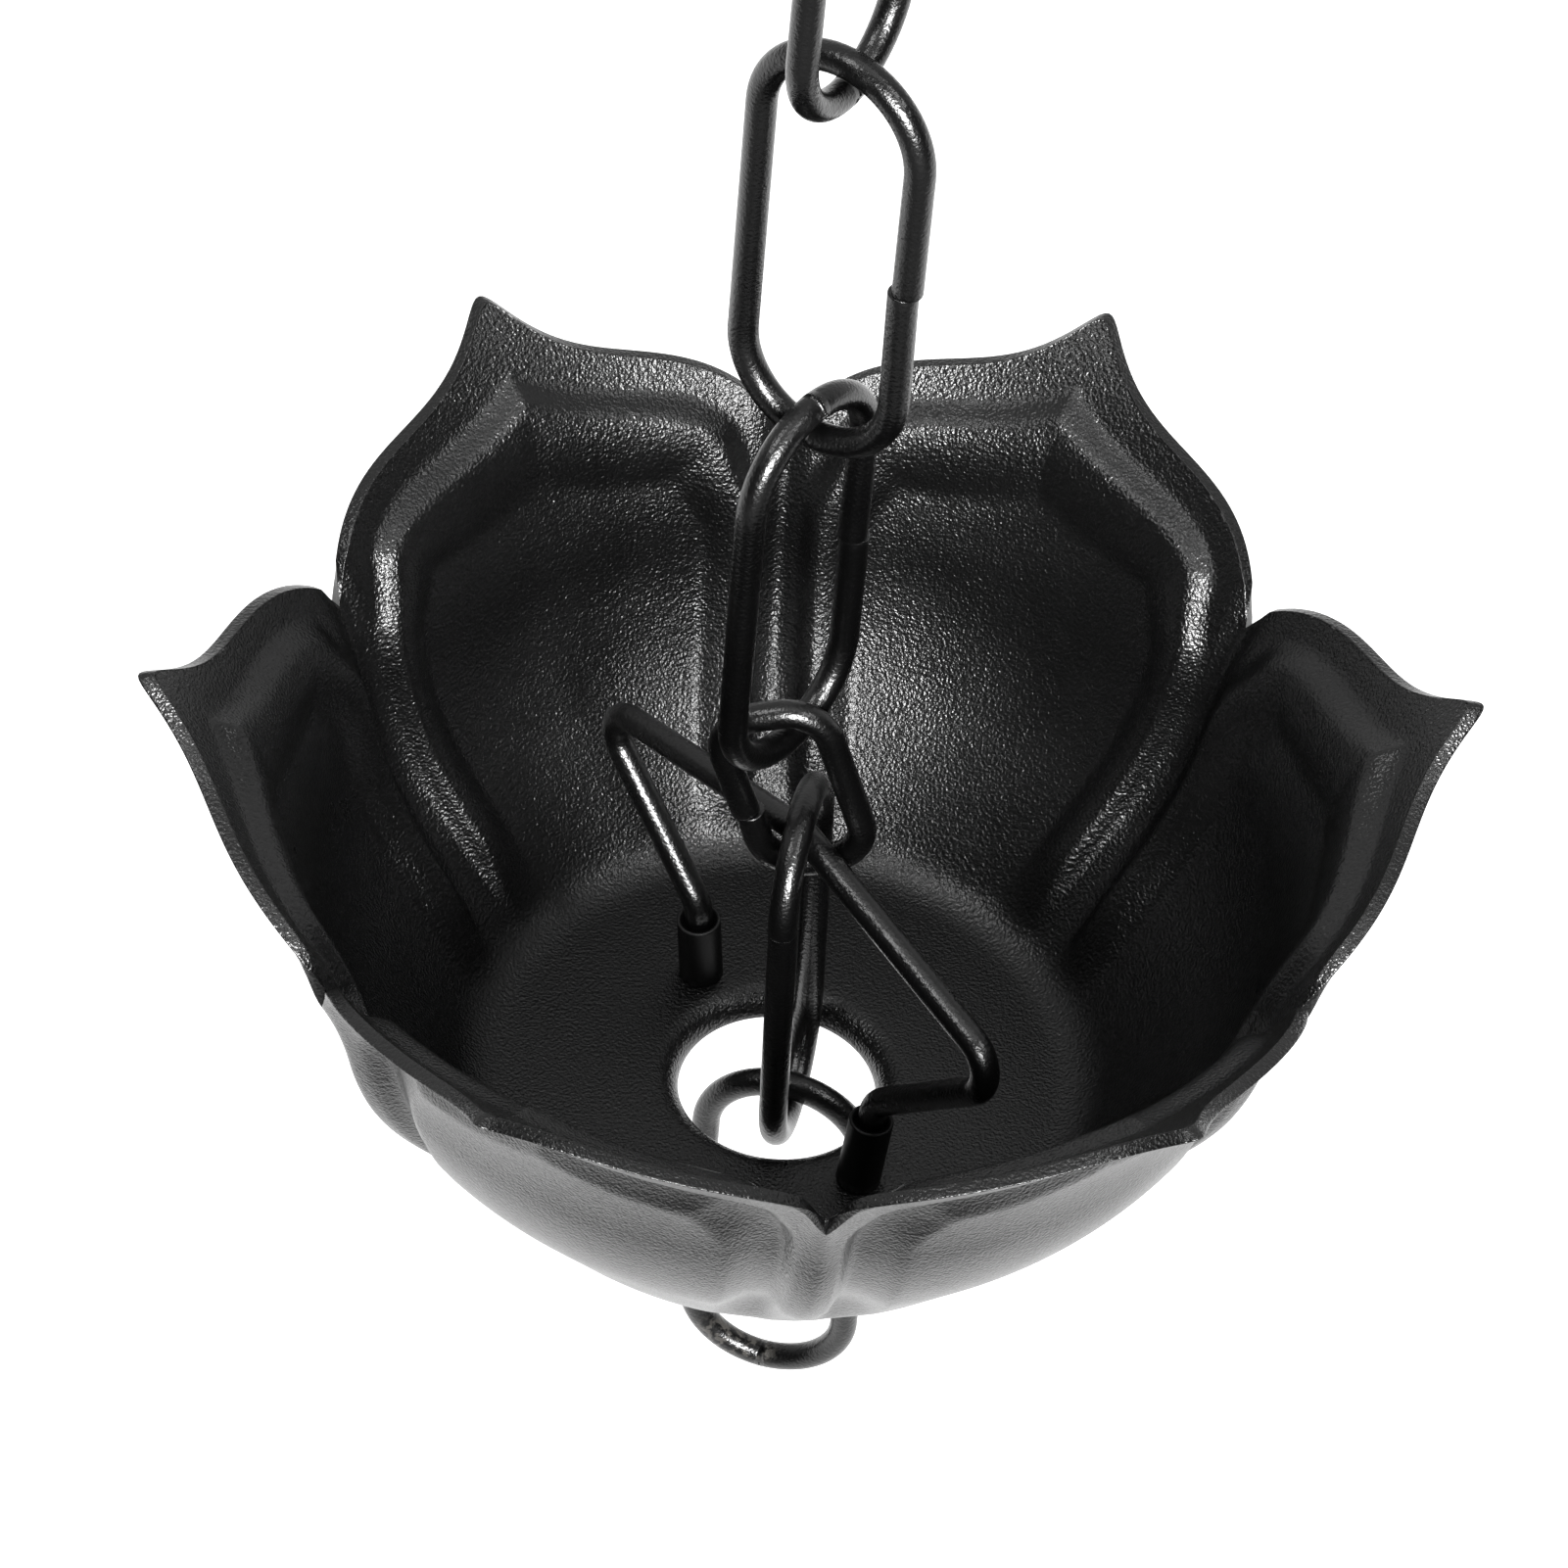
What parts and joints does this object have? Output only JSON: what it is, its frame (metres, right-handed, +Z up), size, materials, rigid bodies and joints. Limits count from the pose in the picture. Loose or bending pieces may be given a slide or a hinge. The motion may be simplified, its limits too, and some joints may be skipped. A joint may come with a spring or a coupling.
{
  "type": "rain chain cup unit",
  "caption": "Length of rain chain with a black lotus-shaped cup: hooked wire links carry a pressed petal cup on a bent wire bail, and the chain runs on through its drain hole.",
  "frame": {"origin": "inside of the top link's upper bend, where the chain hangs on a hook or on the unit above", "axes": "+Z up along the chain, level with the cup's axis a little beside it; +X towards the middle of one petal"},
  "size_m": [0.1246, 0.1082, 0.2122],
  "materials": {
    "black_powder_coat": "satin",
    "black_sleeve": "matte"
  },
  "bodies": {
    "top": {"top_link": "black_powder_coat"},
    "upper": {"upper_link": "black_powder_coat"},
    "lower": {"lower_link": "black_powder_coat"},
    "joining": {"joining_link": "black_powder_coat"},
    "cup": {"lotus_cup": "black_powder_coat", "bail_wire": "black_powder_coat", "bail_sleeve_rear": "black_sleeve", "bail_sleeve_front": "black_sleeve"},
    "drop": {"drop_link": "black_powder_coat"},
    "tail": {"tail_link": "black_powder_coat"}
  },
  "joints": [
    {"name": "upper_swing", "type": "hinge", "parent": "top", "child": "upper", "pos_m": [0, 0, -0.0405], "axis": [0.6157, 0.788, 0], "range_deg": [-60, 60]},
    {"name": "lower_swing", "type": "hinge", "parent": "upper", "child": "lower", "pos_m": [0, 0, -0.0793], "axis": [0.7934, -0.6088, 0], "range_deg": [-60, 60]},
    {"name": "joining_swing", "type": "hinge", "parent": "lower", "child": "joining", "pos_m": [0, 0, -0.1181], "axis": [0.6561, 0.7547, 0], "range_deg": [-25, 25]},
    {"name": "cup_swing", "type": "hinge", "parent": "joining", "child": "cup", "pos_m": [0.0026, 0, -0.13038], "axis": [-0.6018, 0.7986, 0], "range_deg": [-15, 10]},
    {"name": "drop_swing", "type": "hinge", "parent": "cup", "child": "drop", "pos_m": [0.0026, 0, -0.13038], "axis": [-0.6018, 0.7986, 0], "range_deg": [-1.5, 2]},
    {"name": "tail_swing", "type": "hinge", "parent": "drop", "child": "tail", "pos_m": [0.00387, -0.00033, -0.16916], "axis": [0.2538, 0.9673, 0], "range_deg": [-7, 16]}
  ]
}
